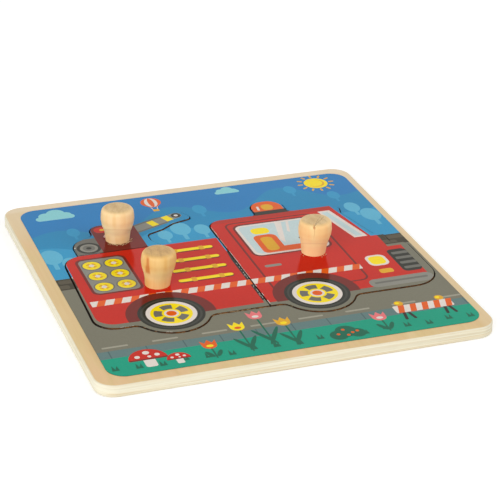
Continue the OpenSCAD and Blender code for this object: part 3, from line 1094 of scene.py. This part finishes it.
def print_finish():
    """Offset ink under a gloss lacquer."""
    f = Finish("printed_sheet", roughness=0.12, ior=1.1)
    ink = f.add("ShaderNodeVertexColor")
    ink.layer_name = "ink"
    grain = f.noise((900, 900, 900), (3, 3, 3), detail=3)
    cloudy = f.noise((28, 28, 28), (6, 1, 2), detail=3)
    tone = f.total((grain, 0.5), (cloudy, 0.5))
    shade = f.ramp(tone, (0.30, (240, 240, 240)), (0.70, (255, 255, 255)))
    f.colour(f.blend(1.0, ink.outputs["Color"], shade, "MULTIPLY"))
    f.roughness(f.noise((160, 160, 160), (1, 9, 4), detail=3), low=0.08, high=0.2)
    f.bump(f.noise((130, 26, 130), (8, 8, 8), detail=3), depth=0.03, strength=0.25)
    return f


gloss = print_finish()
for name, body, draws in (
    ("frame", "tray", [draw_scenery, draw_painted_gap_shadow]),
    ("rear", "rear_piece", [draw_scenery, draw_rear]),
    ("cab", "cab_piece", [draw_scenery, draw_cab]),
    ("boom", "boom_piece", [draw_scenery, draw_boom]),
):
    art_mesh = sheet_mesh(name + "_print", drawn(*draws))
    sheet = piece(name + "_sheet", art_mesh, gloss, body)
    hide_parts(name + "_print")


# Glue crumbs round the pegs' feet

FOOT_RADIUS = 7.0
# A crumb is flattened by this share, and its middle lies this share of its size above the print
CRUMB_FLATNESS, CRUMB_RISE = 0.7, 0.3


def crumbs(name, peg, body, spots, colour):
    """Small hard blobs of glue and dust: view angle in degrees, distance from the foot, size."""
    low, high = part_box(peg)
    middle = (low + high) / 2
    seat = seat_of(peg)
    dice = random.Random(len(spots))
    bm = bmesh.new()
    for angle, out, size in spots:
        turn = math.radians(angle)
        along = VIEW_RIGHT * math.cos(turn) + VIEW_AWAY * math.sin(turn)
        at = middle.xy + along * (FOOT_RADIUS + out) * MM
        height = seat + size * MM * CRUMB_RISE
        blob = bmesh.ops.create_icosphere(bm, subdivisions=2, radius=size * MM / 2)["verts"]
        for v in blob:
            v.co *= dice.uniform(0.82, 1.12)
            v.co = Vector((v.co.x + at.x, v.co.y + at.y, v.co.z * CRUMB_FLATNESS + height))
    mesh = bpy.data.meshes.new(name)
    bm.to_mesh(mesh)
    bm.free()
    mesh.shade_smooth()
    f = Finish(name + "_glue", roughness=0.5, ior=1.45)
    mottle = f.noise((2600, 2600, 2600), (1, 2, 3), detail=3)
    shade = tuple(int(c * 0.72) for c in colour)
    f.colour(f.ramp(mottle, (0.35, shade), (0.65, colour)))
    f.roughness(mottle, low=0.35, high=0.65)
    piece(name, mesh, f, body)


def scatter(start, end, count, seed):
    """Crumbs spread between two view angles."""
    dice = random.Random(seed)
    step = (end - start) / count
    spots = []
    for k in range(count):
        angle = start + step * (k + dice.random())
        out = dice.uniform(0.55, 1.8)
        size = dice.uniform(0.35, 0.75)
        spots.append((angle, out, size))
    return spots


boom_spots = scatter(-128, -18, count=22, seed=6) + scatter(-18, 12, count=5, seed=8)
cab_spots = scatter(-66, -24, count=5, seed=2) + scatter(-152, -122, count=3, seed=3)
bead_spots = [(166, 0.8, 1.5), (154, 1.0, 1.6)]
crumbs("boom_crumbs", "boom_peg", "boom_piece", boom_spots, (238, 204, 150))
crumbs("boom_bead", "boom_peg", "boom_piece", bead_spots, (240, 196, 190))
crumbs("cab_crumbs", "cab_peg", "cab_piece", cab_spots, (236, 204, 156))


# Floor, light and camera, with their sizes and places in metres

WORLD_LIGHT, WORLD_SEEN = 0.59, 1
FLOOR_HALF = 6
FLOOR_DROP = 0.0001
FLOOR_GREY = 0.9
# The floor's own glow for the eye, and how much more it gets between two distances from the puzzle
FLOOR_GLOW, FAR_GLOW = 0.26, 0.3
GLOW_NEAR, GLOW_FAR = 0.35, 2.5


def for_the_eye(tree, lit, seen_level, socket):
    """Camera, glossy and transmission rays get one level here, and rays that light the scene get another.
    The seen level is a number or a socket."""
    path = tree.nodes.new("ShaderNodeLightPath")
    seen = path.outputs["Is Camera Ray"]
    for name in ("Is Glossy Ray", "Is Transmission Ray"):
        more = tree.nodes.new("ShaderNodeMath")
        more.operation = "MAXIMUM"
        tree.links.new(seen, more.inputs[0])
        tree.links.new(path.outputs[name], more.inputs[1])
        seen = more.outputs[0]
    level = tree.nodes.new("ShaderNodeMapRange")
    tree.links.new(seen, level.inputs[0])
    level.inputs[3].default_value = lit
    if isinstance(seen_level, bpy.types.NodeSocket):
        tree.links.new(seen_level, level.inputs[4])
    else:
        level.inputs[4].default_value = seen_level
    tree.links.new(level.outputs[0], socket)


def set_world():
    world = bpy.data.worlds.new("studio")
    bpy.context.scene.world = world
    world.use_nodes = True
    background = world.node_tree.nodes["Background"]
    background.inputs["Color"].default_value = (1, 1, 1, 1)
    for_the_eye(world.node_tree, WORLD_LIGHT, WORLD_SEEN, background.inputs["Strength"])


def floor_finish():
    """Pale paper that looks white and still shows a shadow."""
    f = Finish("floor_paper", roughness=0.9, ior=1.3)
    f.colour((FLOOR_GREY, FLOOR_GREY, FLOOR_GREY))
    f.surface.inputs["Specular IOR Level"].default_value = 0
    f.surface.inputs["Emission Color"].default_value = (1, 1, 1, 1)
    far = f.times(f.step(f.distance(f.x, f.y), GLOW_NEAR, GLOW_FAR), FAR_GLOW)
    glow = f.math("ADD", far, FLOOR_GLOW)
    for_the_eye(f.tree, 0, glow, f.surface.inputs["Emission Strength"])
    return f


def set_floor():
    signs = ((-1, -1), (1, -1), (1, 1), (-1, 1))
    corners = [(FLOOR_HALF * x, FLOOR_HALF * y, -FLOOR_DROP) for x, y in signs]
    mesh = bpy.data.meshes.new("floor")
    mesh.from_pydata(corners, [], [[0, 1, 2, 3]])
    floor = bpy.data.objects.new("floor", mesh)
    bpy.context.scene.collection.objects.link(floor)
    mesh.materials.append(floor_finish().material)


def lamp(name, place, wide, high, power):
    """A softbox that faces the puzzle."""
    light = bpy.data.lights.new(name, "AREA")
    light.shape = "RECTANGLE"
    light.size = wide
    light.size_y = high
    light.energy = power
    made = bpy.data.objects.new(name, light)
    made.location = place
    made.rotation_mode = "QUATERNION"
    made.rotation_quaternion = (-Vector(place)).to_track_quat("-Z", "Y")
    bpy.context.scene.collection.objects.link(made)


def set_camera(place, heading, fall, roll, lens):
    """A camera that looks this many degrees to the right of +Y and below the horizon."""
    camera = bpy.data.cameras.new("camera")
    camera.sensor_width = 36
    camera.lens = lens
    camera.clip_start = 0.01
    camera.clip_end = 20
    eye = bpy.data.objects.new("camera", camera)
    turn = Matrix.Rotation(-math.radians(heading), 4, "Z")
    turn = turn @ Matrix.Rotation(math.radians(90 - fall), 4, "X")
    turn = turn @ Matrix.Rotation(math.radians(roll), 4, "Z")
    eye.matrix_world = Matrix.Translation(place) @ turn
    bpy.context.scene.collection.objects.link(eye)
    bpy.context.scene.camera = eye


set_world()
set_floor()
lamp("key", (-1.23, -1.05, 0.6), wide=1.3, high=1.3, power=17.6)
lamp("fill", (1.2, -0.7, 1.0), wide=1.2, high=1.2, power=7.3)
lamp("back", (0.465, 1.265, 0.66), wide=0.95, high=0.6, power=2.4)
set_camera((-0.304432, -0.849423, 0.457007), heading=20.2057, fall=26.0656, roll=1.3053, lens=128.95)
bpy.context.scene.view_settings.view_transform = "Standard"
